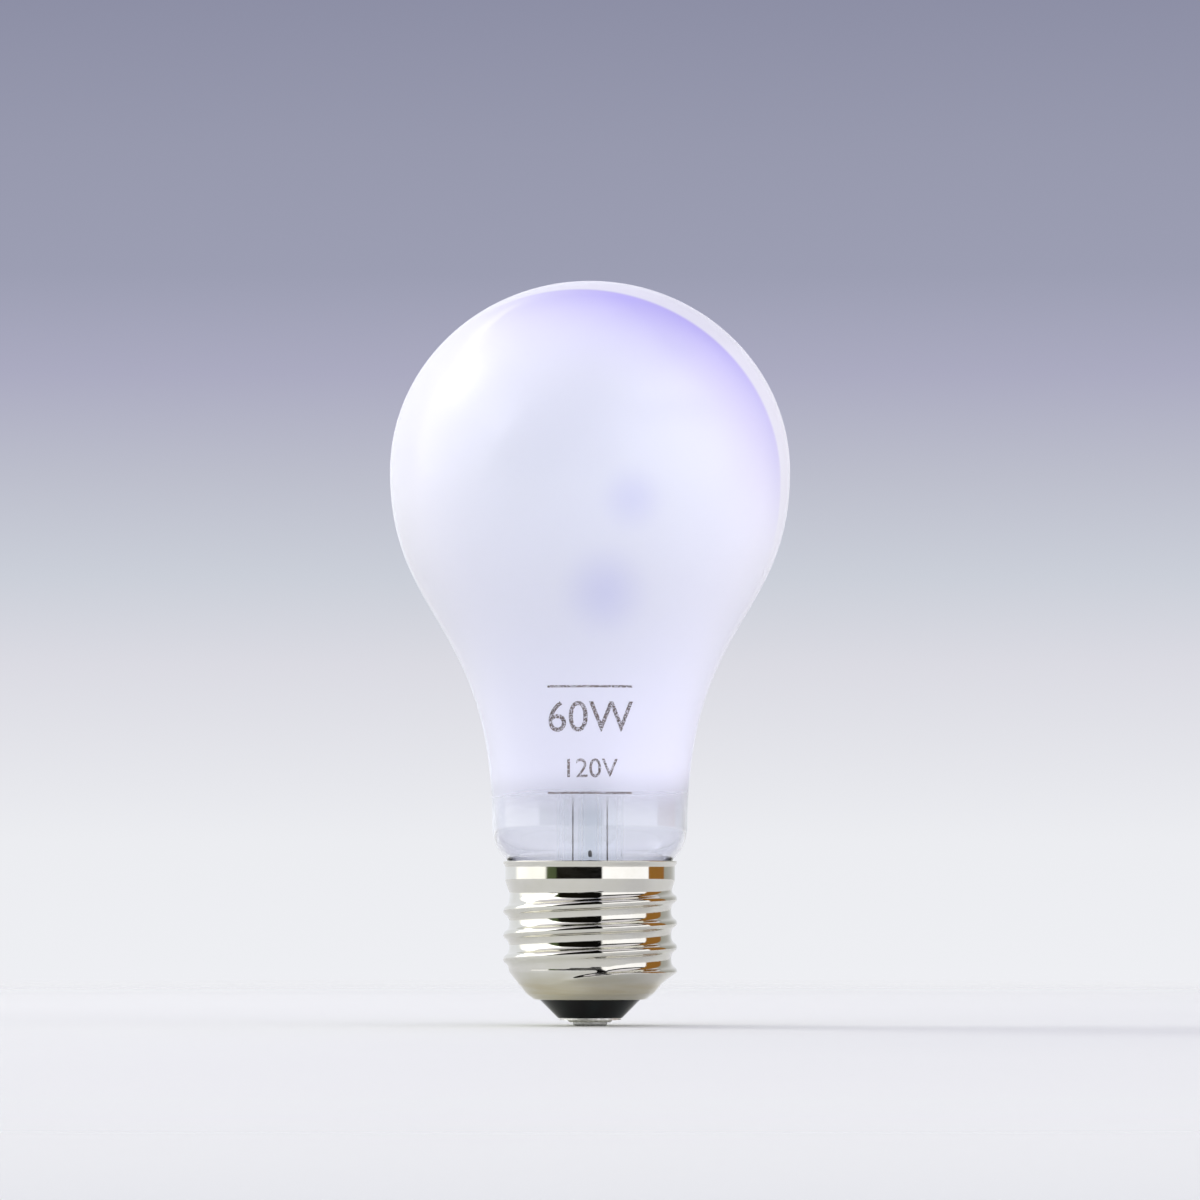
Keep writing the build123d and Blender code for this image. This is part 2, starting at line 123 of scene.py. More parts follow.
# Rolled sheet of the cap, with its turns and angles in degrees
CREST_RADIUS = 13.1 * MM
THREAD_DEPTH = 1.0 * MM
CREST_ARC = 0.7 * MM
ROOT_LAND = 0.07 * MM
THREAD_PITCH = 3.629 * MM
THREAD_Z = 8.2 * MM
THREAD_RUNOUT = 0.8 * MM
THREAD_START = -150.0
THREAD_FADE = 90.0
START_SINK = 2.9 * MM
END_SINK = 1.3 * MM
BLEND_DROP = 1.8 * MM
BLEND_STEP = 1.3 * MM
BLEND_ANGLE = 35.0
COLLAR_STEP = 0.7 * MM
COLLAR_HEIGHT = 2.8 * MM
COLLAR_SLOPE = 1.9 * MM
LIP_STEP = 0.3 * MM
LIP_HEIGHT = 0.3 * MM
LIP_FLARE = 0.4 * MM
CURL_DROP = 0.1 * MM
CURL_BREAK = 2.5 * MM
CURL_FOLD = 1.2 * MM
CURL_WIDTH = 2.0 * MM
CURL_HEIGHT = 0.9 * MM
CAP_BEND = 0.6 * MM
CAP_BEND_STEPS = 6
THREAD_BLEND = 0.35 * MM
SHELL_STEP = 0.16 * MM
# Height below which the warm painted reflection on the cap's lower end is full
WARM_REFLECTION_Z = SHELL_LOW.z + 1.5 * MM

ROOT_RADIUS = CREST_RADIUS - THREAD_DEPTH
HALF_PITCH = THREAD_PITCH / 2
ARC_SUM = (HALF_PITCH ** 2 + THREAD_DEPTH ** 2) / (2 * THREAD_DEPTH)
ROOT_ARC = ARC_SUM - CREST_ARC
COLLAR_FOOT_Z = SHELL_HIGH.z - COLLAR_HEIGHT - COLLAR_SLOPE

# Coiled filament: its open ring in degrees, points to a turn, and sides of the wire
FILAMENT_START = -45
FILAMENT_SWEEP = 270
COIL_POINTS = 10
WIRE_SIDES = 5

# Floor, key lamp and camera, with the sensor in millimetres
FLOOR_RINGS = (0.0001, 0.1, 0.3, 0.6, 0.85)
FLOOR_SEGMENTS = 64
FLOOR_FADE = (0.16, 0.6)
FLOOR_MOTTLE = (0.985, 0.985, 0.985)
KEY_SIZE = 0.35
KEY_DISTANCE = 1.2
SENSOR_WIDTH = 36
CLIP_RANGE = (0.01, 20)

# Studio light, by the unit direction it comes from, so a height is the sine of an angle.
# A bright sheet fills the low side behind on the left, up to a slanting plane.
SHEET_NORMAL = (-0.557, 0.449, -0.697)
SHEET_EDGE = (0.0, 0.03)
SHEET_DEPTHS = (0.0, 0.5)
SHEET_NEAR = (1.8, 1.8, 1.8)
SHEET_FAR = (2.4, 2.4, 2.4)

# Panels over the front, from left to right, and the violet ceiling behind and above them
FRONT_SIDES = (-0.7, 0.7)
OVER_FRONT = (
    (0.0, (3.0, 2.96, 3.05)),
    (0.3, (1.35, 1.34, 1.42)),
    (0.6, (1.35, 1.34, 1.42)),
    (1.0, (3.6, 3.5, 3.75)),
)
BEHIND_DEPTHS = (-0.2, 0.3)
BEHIND_HEIGHTS = (0.05, 0.5)
CEILING_HEIGHTS = (0.35, 0.8)
CEILING_MIRRORED = (0.78, 0.76, 0.84)
CEILING_LIGHT = (0.66, 0.63, 0.9)

# What the glass lets through from straight behind, and the ground's light
THROUGH_DEPTHS = (0.85, 0.97)
THROUGH_TONE = (0.86, 0.865, 0.9)
GROUND_EDGE = (-0.04, -0.03)
GROUND_TONE = (0.8, 0.8, 0.8)

# Room that mirrors see: its tone by the angle in degrees from the front, positive to the right
GAP_TONE = (0.01, 0.01, 0.01)
ROOM_EDGE = (-0.02, 0.02)
ROOM = (
    (-180, (0.9, 0.92, 0.98)),
    (-122, (0.95, 0.98, 1.06)),
    (-112, (1.75, 1.75, 1.75)),
    (-64, (1.75, 1.75, 1.75)),
    (-60, (0.1, 0.13, 0.06)),
    (-47, (0.08, 0.11, 0.05)),
    (-45, (0.008, 0.007, 0.004)),
    (16, (0.003, 0.003, 0.003)),
    (17, (1.45, 1.44, 1.52)),
    (86, (1.35, 1.35, 1.45)),
    (87, (0.35, 0.16, 0.03)),
    (119, (0.35, 0.16, 0.04)),
    (121, (0.42, 0.42, 0.39)),
    (140, (0.5, 0.5, 0.5)),
    (180, (0.9, 0.92, 0.98)),
)

# Height where the room ends, and where the dark gap over it ends, by the same angle
ROOM_TOPS = (
    (-124, (0.6, 0.6)),
    (-114, (0.0, 0.0)),
    (-64, (0.0, 0.0)),
    (-60, (0.02, 0.02)),
    (-45, (0.5, 0.5)),
    (-20, (0.86, 0.86)),
    (16, (0.97, 0.97)),
    (17, (0.4, 0.66)),
    (86, (0.4, 0.6)),
    (88, (0.78, 0.9)),
    (118, (0.78, 0.9)),
    (124, (0.6, 0.6)),
)

# Backdrop behind the lamp, from low to high, in sRGB from 0 to 255
BACKDROP_RANGE = (-0.05, 0.16)
BACKDROP = (
    (0.0, (231, 232, 238)),
    (0.08, (244, 244, 249)),
    (0.19, (238, 239, 243)),
    (0.29, (236, 237, 241)),
    (0.43, (219, 219, 227)),
    (0.5, (203, 207, 217)),
    (0.58, (188, 190, 204)),
    (0.66, (171, 171, 193)),
    (0.74, (156, 158, 179)),
    (0.84, (151, 153, 174)),
    (1.0, (137, 139, 162)),
)


# Shared helpers for meshes

def new_object(name, mesh, material):
    """Links a mesh as a piece that rides on the lamp."""
    for polygon in mesh.polygons:
        polygon.use_smooth = True
    obj = bpy.data.objects.new(name, mesh)
    bpy.context.scene.collection.objects.link(obj)
    obj.data.materials.append(material)
    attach(obj, "root")
    return obj


def grid_mesh(name, rows, closed):
    """Mesh from rings of points of equal count; closed joins the last ring to the first."""
    count = len(rows[0])
    points = [point for row in rows for point in row]
    faces = []
    last = len(rows) if closed else len(rows) - 1
    for i in range(last):
        low = i * count
        high = (i + 1) % len(rows) * count
        for j in range(count):
            k = (j + 1) % count
            faces.append((low + j, low + k, high + k, high + j))
    mesh = bpy.data.meshes.new(name)
    mesh.from_pydata(points, [], faces)
    mesh.validate()
    return mesh


def close_up(mesh, sides=0):
    """Fills the open rings of so many sides and turns every face outwards."""
    shape = bmesh.new()
    shape.from_mesh(mesh)
    if sides:
        bmesh.ops.holes_fill(shape, edges=shape.edges, sides=sides)
    bmesh.ops.recalc_face_normals(shape, faces=shape.faces)
    shape.to_mesh(mesh)
    shape.free()
    return mesh


def ring(radius, z, segments):
    """Points of a level circle."""
    return [
        (radius * cos(2 * pi * j / segments), radius * sin(2 * pi * j / segments), z)
        for j in range(segments)
    ]


def bezier(a, b, c, d, steps):
    """Points of a cubic curve, without its last one."""
    points = []
    for i in range(steps):
        t = i / steps
        s = 1 - t
        pulls = ((s ** 3, a), (3 * s * s * t, b), (3 * s * t * t, c), (t ** 3, d))
        points.append(tuple(sum(weight * point[k] for weight, point in pulls) for k in (0, 1)))
    return points


def arc(centre, radius, start, end, steps):
    """Points of an arc between two angles in radians, without its last one."""
    points = []
    for i in range(steps):
        angle = start + (end - start) * i / steps
        points.append((centre[0] + radius * cos(angle), centre[1] + radius * sin(angle)))
    return points


def tube(name, path, radius, sides):
    """Mesh of a round wire along a path, with flat ends."""
    rows = []
    normal = None
    for i, point in enumerate(path):
        ahead = path[min(i + 1, len(path) - 1)]
        behind = path[max(i - 1, 0)]
        along = (ahead - behind).normalized()
        if normal is None:
            normal = along.orthogonal().normalized()
        normal = (normal - along * normal.dot(along)).normalized()
        side = along.cross(normal)
        rows.append([
            point + radius * (normal * cos(2 * pi * k / sides) + side * sin(2 * pi * k / sides))
            for k in range(sides)
        ])
    return close_up(grid_mesh(name, rows, closed=False), sides)


# Shared helpers for materials

class Nodes:
    """Short way to add and link shader nodes of one tree."""

    def __init__(self, tree):
        self.tree = tree
        self.tree.nodes.clear()

    def add(self, kind, **values):
        """New node with the given settings."""
        node = self.tree.nodes.new(kind)
        for key, value in values.items():
            setattr(node, key, value)
        return node

    def link(self, source, target):
        """Link from an output to an input."""
        self.tree.links.new(source, target)

    def put(self, target, value):
        """Links an output to an input, or sets the input's own value."""
        if isinstance(value, bpy.types.NodeSocket):
            self.link(value, target)
        else:
            target.default_value = value

    def fill(self, shader, inputs):
        """Puts values or outputs into a shader's inputs, by name."""
        for name, value in inputs.items():
            self.put(shader.inputs[name], value)

    def parts(self, vector):
        """The three axes of a vector."""
        node = self.add("ShaderNodeSeparateXYZ")
        self.link(vector, node.inputs[0])
        return node.outputs

    def place(self):
        """The three axes of the piece's own coordinates."""
        return self.parts(self.add("ShaderNodeTexCoord").outputs["Object"])

    def dot(self, vector, direction):
        """Length of a vector along a direction."""
        node = self.add("ShaderNodeVectorMath", operation="DOT_PRODUCT")
        self.link(vector, node.inputs[0])
        node.inputs[1].default_value = direction
        return node.outputs["Value"]

    def math(self, operation, *values):
        """Result of an operation on outputs or numbers."""
        node = self.add("ShaderNodeMath", operation=operation)
        for target, value in zip(node.inputs, values):
            self.put(target, value)
        return node.outputs[0]

    def span(self, value, low, high, to_low=0.0, to_high=1.0, smooth=False):
        """Value brought from one range to another and kept inside it."""
        node = self.add("ShaderNodeMapRange", clamp=True)
        if smooth:
            node.interpolation_type = "SMOOTHSTEP"
        self.link(value, node.inputs["Value"])
        ends = {"From Min": low, "From Max": high, "To Min": to_low, "To Max": to_high}
        for name, end in ends.items():
            node.inputs[name].default_value = end
        return node.outputs["Result"]

    def mix(self, factor, a, b):
        """Colour between two others, each an output or three numbers."""
        node = self.add("ShaderNodeMix", data_type="RGBA")
        targets = {(target.name, target.type): target for target in node.inputs}
        self.put(targets["Factor", "VALUE"], factor)
        for name, colour in (("A", a), ("B", b)):
            self.put(targets[name, "RGBA"], (*colour, 1) if isinstance(colour, tuple) else colour)
        return next(output for output in node.outputs if output.type == "RGBA")

    def ramp(self, value, stops):
        """Colour from stops of a place and a colour."""
        node = self.add("ShaderNodeValToRGB")
        elements = node.color_ramp.elements
        while len(elements) > 1:
            elements.remove(elements[-1])
        elements[0].position = stops[0][0]
        elements[0].color = (*stops[0][1], 1)
        for position, colour in stops[1:]:
            elements.new(position).color = (*colour, 1)
        self.link(value, node.inputs[0])
        return node.outputs[0]

    def noise(self, scale, detail=3.0, roughness=0.5, stretch=(1, 1, 1)):
        """Noise in the piece's own coordinates."""
        place = self.add("ShaderNodeTexCoord")
        mapping = self.add("ShaderNodeMapping")
        mapping.inputs["Scale"].default_value = stretch
        node = self.add("ShaderNodeTexNoise")
        node.inputs["Scale"].default_value = scale
        node.inputs["Detail"].default_value = detail
        node.inputs["Roughness"].default_value = roughness
        self.link(place.outputs["Object"], mapping.inputs["Vector"])
        self.link(mapping.outputs[0], node.inputs["Vector"])
        return node.outputs["Fac"]

    def bump(self, height, strength, distance):
        """Normal of a surface with a fine relief."""
        node = self.add("ShaderNodeBump")
        node.inputs["Strength"].default_value = strength
        node.inputs["Distance"].default_value = distance
        self.link(height, node.inputs["Height"])
        return node.outputs[0]

    def blend(self, factor, a, b, output):
        """Mixes two shaders into the tree's output."""
        node = self.add("ShaderNodeMixShader")
        for target, source in zip(node.inputs, (factor, a.outputs[0], b.outputs[0])):
            self.link(source, target)
        self.link(node.outputs[0], output.inputs["Surface"])


def new_material(name):
    """Material with one Principled shader. Returns the material, its nodes and the shader."""
    material = bpy.data.materials.new(name)
    material.use_nodes = True
    nodes = Nodes(material.node_tree)
    shader = nodes.add("ShaderNodeBsdfPrincipled")
    output = nodes.add("ShaderNodeOutputMaterial")
    nodes.link(shader.outputs[0], output.inputs["Surface"])
    return material, nodes, shader


def linear(red, green, blue):
    """Linear colour of an sRGB colour written from 0 to 255."""
    values = []
    for channel in (red, green, blue):
        part = channel / 255
        values.append(part / 12.92 if part <= 0.04045 else ((part + 0.055) / 1.055) ** 2.4)
    return tuple(values)


def share(tone, parts):
    """Colour with each channel at a share of another's."""
    return tuple(channel * part for channel, part in zip(tone, parts))


# Glass bulb

def bulb_outline(inset):
    """Radius and height of the bulb's outline from its top down to the seal."""
    globe = GLOBE_RADIUS - inset
    neck = NECK_RADIUS - inset
    seal = SEAL_RADIUS - inset
    top = BULB_HIGH.z - inset
    turn = acos(1 - (NECK_RADIUS - SEAL_RADIUS) / (HIP_BEND + SEAL_BEND))
    seal_top = NECK_Z - (HIP_BEND + SEAL_BEND) * sin(turn)
    rise = ROUND_PULL * (top - EQUATOR_Z)
    points = bezier(
        (POLE_RADIUS, top),
        (ROUND_PULL * globe, top),
        (globe, EQUATOR_Z + rise),
        (globe, EQUATOR_Z),
        DOME_STEPS,
    )
    points += bezier(
        (globe, EQUATOR_Z),
        (globe, EQUATOR_Z - SHOULDER_PULL + inset),
        (neck, NECK_Z + NECK_PULL + inset),
        (neck, NECK_Z),
        SHOULDER_STEPS,
    )
    hip = (NECK_RADIUS - HIP_BEND, NECK_Z)
    points += arc(hip, HIP_BEND - inset, 0, -turn, HIP_STEPS)
    hollow = (SEAL_RADIUS + SEAL_BEND, seal_top)
    points += arc(hollow, SEAL_BEND + inset, pi - turn, pi, SEAL_STEPS)
    points += [(seal, seal_top), (seal, (seal_top + BULB_LOW.z) / 2), (seal, BULB_LOW.z)]
    return points


def bulb_radius(z):
    """Outer radius of the bulb at a height."""
    outline = bulb_outline(0)
    for (high_r, high_z), (low_r, low_z) in zip(outline, outline[1:]):
        if low_z < z <= high_z:
            return low_r + (high_r - low_r) * (z - low_z) / (high_z - low_z)
    return outline[-1][0]


def painted_mount_shadow(nodes, across, up):
    """Soft painted shadows of the filament's support and of the arbor's button on the coat."""
    shade = None
    for x, z, reach, depth in PAINTED_MOUNT_SHADOWS:
        side = nodes.math("SUBTRACT", across, x)
        rise = nodes.math("SUBTRACT", up, z)
        square = nodes.math("MULTIPLY_ADD", rise, rise, nodes.math("MULTIPLY", side, side))
        spot = nodes.span(nodes.math("SQRT", square), 0.0, reach, depth, 0.0, smooth=True)
        shade = spot if shade is None else nodes.math("ADD", shade, spot)
    return shade


def coat_tone(nodes, tint, cloud):
    """Colour of the frosted coat: pale, darker as painted shade where it faces straight on, its
    violet tint deepened as painted shade towards the upper right, lighter again in a painted
    reflection at the rim there, and darkened by painted shadows of the mount.
    """
    across, _, up = nodes.place()
    edge = nodes.add("ShaderNodeLayerWeight")
    edge.inputs["Blend"].default_value = TURN_BLEND
    turn = edge.outputs["Facing"]
    pale = nodes.mix(nodes.span(cloud, 0.3, 0.7), tint, share(tint, CLOUD_SHARE))
    # Painted shade: the coat is darker where it faces straight on
    pale = nodes.mix(nodes.span(turn, *MIDDLE_SHADE_TURN), share(tint, MIDDLE_SHADE_SHARE), pale)
    pale = nodes.mix(nodes.span(up, *LOW_HEIGHTS), share(tint, LOW_SHARE), pale)
    lean = nodes.dot(nodes.add("ShaderNodeTexCoord").outputs["Normal"], VIOLET_SHADE_SIDE)
    high = nodes.span(up, *VIOLET_SHADE_HEIGHTS)
    high = nodes.math("MULTIPLY", high, nodes.span(lean, *VIOLET_SHADE_LEAN))
    # Violet tint, deepened as painted shade where the glass turns away high on the upper right
    # side
    depth = nodes.math("MULTIPLY", nodes.span(turn, *VIOLET_SHADE_TURN), high)
    tone = nodes.mix(depth, pale, share(tint, VIOLET_SHADE_SHARE))
    # Painted reflection: a lighter crescent with a sharp edge where the glass turns far away on
    # the violet side
    reflection_crescent = nodes.math("MULTIPLY_ADD", lean, REFLECTION_CRESCENT_LEAN, turn)
    tone = nodes.mix(nodes.span(reflection_crescent, *REFLECTION_CRESCENT_EDGE), tone, pale)
    # Painted shadows of the mount darken the coat towards the mount share
    return nodes.mix(painted_mount_shadow(nodes, across, up), tone, share(tint, MOUNT_SHADOW_SHARE))


def frosted_glass(tint, clear_z, frost_z):
    """Frosted lavender glass that clears towards the bottom of the neck."""
    material, nodes, shader = new_material("frosted_glass")
    cloud = nodes.noise(45)
    edge = nodes.math("MULTIPLY_ADD", cloud, FROST_WAVE, nodes.place()["Z"])
    frost = nodes.span(edge, clear_z, frost_z, smooth=True)
    side = nodes.add("ShaderNodeNewGeometry")
    entering = nodes.math("SUBTRACT", 1.0, side.outputs["Backfacing"])
    frost_in = nodes.math("MULTIPLY", frost, entering)
    grain = nodes.noise(2500, detail=2)
    nodes.fill(shader, {
        "Base Color": nodes.mix(frost, CLEAR_TONE, coat_tone(nodes, tint, cloud)),
        "Transmission Weight": nodes.span(frost_in, 0, 1, 1.0, 0.4),
        "Roughness": nodes.span(frost_in, 0, 1, 0.0, 0.5),
        "IOR": 1.5,
        "Coat Weight": nodes.span(frost, 0, 1, 1.0, 0.45),
        "Coat Roughness": 0.12,
        "Coat IOR": 1.5,
        "Normal": nodes.bump(grain, 0.02, 0.02 * MM),
    })
    return material


# Printed mark

def ink():
    """Brown grey ink with the small pinholes of a stamp."""
    material, nodes, shader = new_material("printed_ink")
    grain = nodes.noise(5200, detail=2)
    wear = nodes.span(nodes.noise(700), 0.3, 0.7)
    nodes.fill(shader, {
        "Base Color": nodes.mix(wear, linear(120, 108, 104), linear(86, 74, 70)),
        "Roughness": 0.6,
        "Alpha": nodes.span(grain, 0.42, 0.52, 0.2, 0.9),
    })
    return material


def wrap_on_neck(mesh, centre_z):
    """Bends a flat mesh, drawn as x and y, onto the front of the neck."""
    shape = bmesh.new()
    shape.from_mesh(mesh)
    bmesh.ops.triangulate(shape, faces=shape.faces)
    width = max(abs(v.co.x) for v in shape.verts)
    cut = -width + PRINT_STEP
    while cut < width:
        everything = shape.verts[:] + shape.edges[:] + shape.faces[:]
        bmesh.ops.bisect_plane(shape, geom=everything, plane_co=(cut, 0, 0), plane_no=(1, 0, 0))
        cut += PRINT_STEP
    for vertex in shape.verts:
        z = centre_z + vertex.co.y
        radius = bulb_radius(z) + INK_LIFT
        angle = -pi / 2 + vertex.co.x / radius
        vertex.co = Vector((radius * cos(angle), radius * sin(angle), z))
    shape.to_mesh(mesh)
    shape.free()


def text_mesh(name, words, size, offset_y):
    """Flat mesh of generic words, centred on x."""
    curve = bpy.data.curves.new(name, "FONT")
    curve.body = words
    curve.size = size
    curve.align_x = "CENTER"
    curve.align_y = "CENTER"
    curve.resolution_u = 6
    obj = bpy.data.objects.new(name, curve)
    bpy.context.scene.collection.objects.link(obj)
    bpy.context.view_layer.update()
    graph = bpy.context.evaluated_depsgraph_get()
    mesh = bpy.data.meshes.new_from_object(obj.evaluated_get(graph))
    bpy.data.objects.remove(obj)
    for vertex in mesh.vertices:
        vertex.co.y += offset_y
    return mesh


def bar_mesh(name, width, height, offset_y):
    """Flat rectangle, drawn as x and y."""
    mesh = bpy.data.meshes.new(name)
    half = width / 2
    low, high = offset_y - height / 2, offset_y + height / 2
    corners = [(-half, low, 0), (half, low, 0), (half, high, 0), (-half, high, 0)]
    mesh.from_pydata(corners, [], [(0, 1, 2, 3)])
    return mesh


# Screw cap

def smooth_step(value):
    """Soft rise from 0 to 1 over the same range."""
    value = max(0.0, min(1.0, value))
    return value * value * (3 - 2 * value)


def thread_wave(distance):
    """Radius of a full thread at a distance along the axis from its crest."""
    distance = min(abs(distance), HALF_PITCH)
    if distance <= CREST_ARC * HALF_PITCH / ARC_SUM:
        return CREST_RADIUS - CREST_ARC + sqrt(CREST_ARC ** 2 - distance ** 2)
    return ROOT_RADIUS + ROOT_ARC - sqrt(ROOT_ARC ** 2 - (HALF_PITCH - distance) ** 2)


def rounded_max(a, b, blend):
    """Larger of two radii, with a small round where they meet."""
    gap = max(blend - abs(a - b), 0) / blend
    return max(a, b) + gap * gap * blend / 4


def thread_radius(angle, z):
    """Radius of the thread's ridge at an angle in degrees and a height."""
    end = 360 * (COLLAR_FOOT_Z + THREAD_RUNOUT - THREAD_Z) / THREAD_PITCH
    turns = (z - THREAD_Z) / THREAD_PITCH * 360
    crest_turn = angle + 360 * round((turns - angle) / 360)
    rise = smooth_step((crest_turn - THREAD_START) / THREAD_FADE)
    fall = smooth_step((end - crest_turn) / THREAD_FADE)
    wave = thread_wave((turns - crest_turn) / 360 * THREAD_PITCH)
    return wave - START_SINK * (1 - rise) - END_SINK * (1 - fall)


def rounded_line(corners, radius, steps):
    """Open line through the corners, each inner one rounded by an arc."""
    points = [Vector(corners[0])]
    for before, corner, after in zip(corners, corners[1:], corners[2:]):
        corner = Vector(corner)
        back = (Vector(before) - corner).normalized()
        ahead = (Vector(after) - corner).normalized()
        half = back.angle(ahead) / 2
        reach = radius / tan(half)
        centre = corner + (back + ahead).normalized() * radius / sin(half)
        start = corner + back * reach - centre
        end = corner + ahead * reach - centre
        first = atan2(start.y, start.x)
        sweep = (atan2(end.y, end.x) - first + pi) % (2 * pi) - pi
        for i in range(steps + 1):
            angle = first + sweep * i / steps
            points.append(centre + radius * Vector((cos(angle), sin(angle))))
    points.append(Vector(corners[-1]))
    return points


def cap_profile():
    """Radius and height of the plain cap from its lower edge to the lip."""
    land = ROOT_RADIUS + ROOT_LAND
    collar = ROOT_RADIUS + COLLAR_STEP
    lip = SHELL_HIGH.z
    fold = ROOT_RADIUS - CURL_BREAK
    corners = [
        (fold - CURL_WIDTH, SHELL_LOW.z),
        (fold - CURL_FOLD, SHELL_LOW.z),
        (fold, SHELL_LOW.z + CURL_HEIGHT),
        (land, THREAD_Z - CURL_DROP),
        (land, COLLAR_FOOT_Z),
        (collar, lip - COLLAR_HEIGHT),
        (collar, lip - LIP_HEIGHT - LIP_FLARE),
        (collar + LIP_STEP, lip - LIP_HEIGHT),
        (collar + LIP_STEP, lip),
    ]
    line = rounded_line(corners, CAP_BEND, CAP_BEND_STEPS)
    points = []
    for start, end in zip(line, line[1:]):
        parts = max(1, ceil((end - start).length / SHELL_STEP))
        points += [start.lerp(end, i / parts) for i in range(parts)]
    return points + [line[-1]]


def shell_rows(inset, segments):
    """Rings of the sheet's outside, or of its inside when inset is the wall."""
    climb = tan(radians(BLEND_ANGLE))
    profile = cap_profile()
    rows = []
    for i, point in enumerate(profile):
        ahead = profile[min(i + 1, len(profile) - 1)]
        behind = profile[max(i - 1, 0)]
        along = (ahead - behind).normalized()
        plain = point.x - inset * along.y
        level = point.y + inset * along.x
        row = []
        for j in range(segments):
            angle = 360 * j / segments
            cone = ROOT_RADIUS - BLEND_STEP + (point.y - THREAD_Z + BLEND_DROP) / climb
            radius = plain
            if THREAD_Z - THREAD_PITCH < point.y < COLLAR_FOOT_Z + HALF_PITCH:
                ridge = min(thread_radius(angle, point.y), cone) - inset
                radius = rounded_max(plain, ridge, THREAD_BLEND)
            turn = radians(angle)
            row.append((radius * cos(turn), radius * sin(turn), level))
        rows.append(row)
    return rows


def nickel(tone, roughness, scratch):
    """Bright plated sheet with faint rolling marks, and a warm painted reflection in streaks on
    its lower end.
    """
    material, nodes, shader = new_material("nickel_plate")
    lines = nodes.noise(900, detail=4, roughness=0.6, stretch=(1, 1, 12))
    haze = nodes.noise(260, detail=5, roughness=0.6)
    colour = nodes.mix(nodes.span(haze, 0.3, 0.75), tone, share(tone, (0.93, 0.92, 0.88)))
    bands = nodes.span(nodes.noise(160, stretch=(0.5, 0.5, 6)), 0.3, 0.65, 0.25, 1.0)
    # Painted reflection: warm streaks on the rolled lower end
    low = nodes.span(nodes.place()["Z"], WARM_REFLECTION_Z, THREAD_Z, 1.0, 0.0, smooth=True)
    warm_painted_reflection = nodes.math("MULTIPLY", low, bands)
    nodes.fill(shader, {
        "Base Color": nodes.mix(warm_painted_reflection, colour, share(tone, (0.8, 0.74, 0.6))),
        "Metallic": 1.0,
        "Roughness": nodes.span(haze, 0.4, 0.8, roughness, 1.8 * roughness),
        "Normal": nodes.bump(lines, scratch, 0.02 * MM),
    })
    return material


def dull_metal(name, tone, roughness):
    """Drawn wire or solder with a mottled surface."""
    material, nodes, shader = new_material(name)
    spots = nodes.noise(1800, detail=4)
    dark = share(tone, (0.75, 0.75, 0.75))
    nodes.fill(shader, {
        "Base Color": nodes.mix(nodes.span(spots, 0.35, 0.7), tone, dark),
        "Metallic": 1.0,
        "Roughness": nodes.span(spots, 0.3, 0.7, roughness, 1.5 * roughness),
        "Normal": nodes.bump(spots, 0.15, 0.05 * MM),
    })
    return material


def black_glass():
    """Glossy black moulded glass with a faint relief of flow streaks, and faint greenish streaks
    painted in as highlights.
    """
    material, nodes, shader = new_material("black_glass")
    streaks = nodes.noise(300, stretch=(1, 1, 0.15))
    streak_highlight = nodes.span(streaks, 0.4, 0.8)
    nodes.fill(shader, {
        # Painted highlight: faint greenish streaks in the black
        "Base Color": nodes.mix(streak_highlight, (0.0015, 0.0015, 0.0018), (0.006, 0.011, 0.011)),
        "Roughness": 0.12,
        "Specular IOR Level": 0.2,
        "Normal": nodes.bump(streaks, 0.25, 0.1 * MM),
    })
    return material


def stem_glass():
    """Clear glass of the mount, with a trace of blue."""
    material, nodes, shader = new_material("stem_glass")
    ripple = nodes.noise(220, detail=2, stretch=(1, 1, 0.3))
    wave = nodes.span(ripple, 0.3, 0.7)
    nodes.fill(shader, {
        "Base Color": nodes.mix(wave, (0.96, 0.98, 0.99), (0.99, 0.995, 1.0)),
        "Transmission Weight": 1.0,
        "Roughness": 0.02,
        "IOR": 1.2,
        "Normal": nodes.bump(ripple, 0.05, 0.2 * MM),
    })
    return material


def cement():
    """Baked grey brown basing cement."""
    material, nodes, shader = new_material("basing_cement")
    grains = nodes.noise(2500, detail=5)
    spots = nodes.span(grains, 0.3, 0.7)
    nodes.fill(shader, {
        "Base Color": nodes.mix(spots, (0.52, 0.47, 0.4), (0.66, 0.62, 0.55)),
        "Roughness": 0.85,
        "Normal": nodes.bump(grains, 0.5, 0.1 * MM),
    })
    return material


def dress(node, material):
    """Gives a CAD node its finish."""
    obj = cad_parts[node]
    obj.data.materials.clear()
    obj.data.materials.append(material)


# Light of the studio

def turn_ramp(nodes, around, stops):
    """Ramp over the angles around the lamp, from -180 to 180 degrees."""
    return nodes.ramp(around, [((angle + 180) / 360, colour) for angle, colour in stops])


def light_over(nodes, side, depth, height, diffuse):
    """Bright panels over the front, and a violet ceiling above and behind."""
    front = nodes.ramp(nodes.span(side, *FRONT_SIDES), OVER_FRONT)
    behind = nodes.math(
        "MULTIPLY",
        nodes.span(depth, *BEHIND_DEPTHS, smooth=True),
        nodes.span(height, *BEHIND_HEIGHTS, smooth=True),
    )
    ceiling = nodes.mix(diffuse, CEILING_MIRRORED, CEILING_LIGHT)
    over = nodes.mix(behind, front, ceiling)
    return nodes.mix(nodes.span(height, *CEILING_HEIGHTS, smooth=True), over, ceiling)


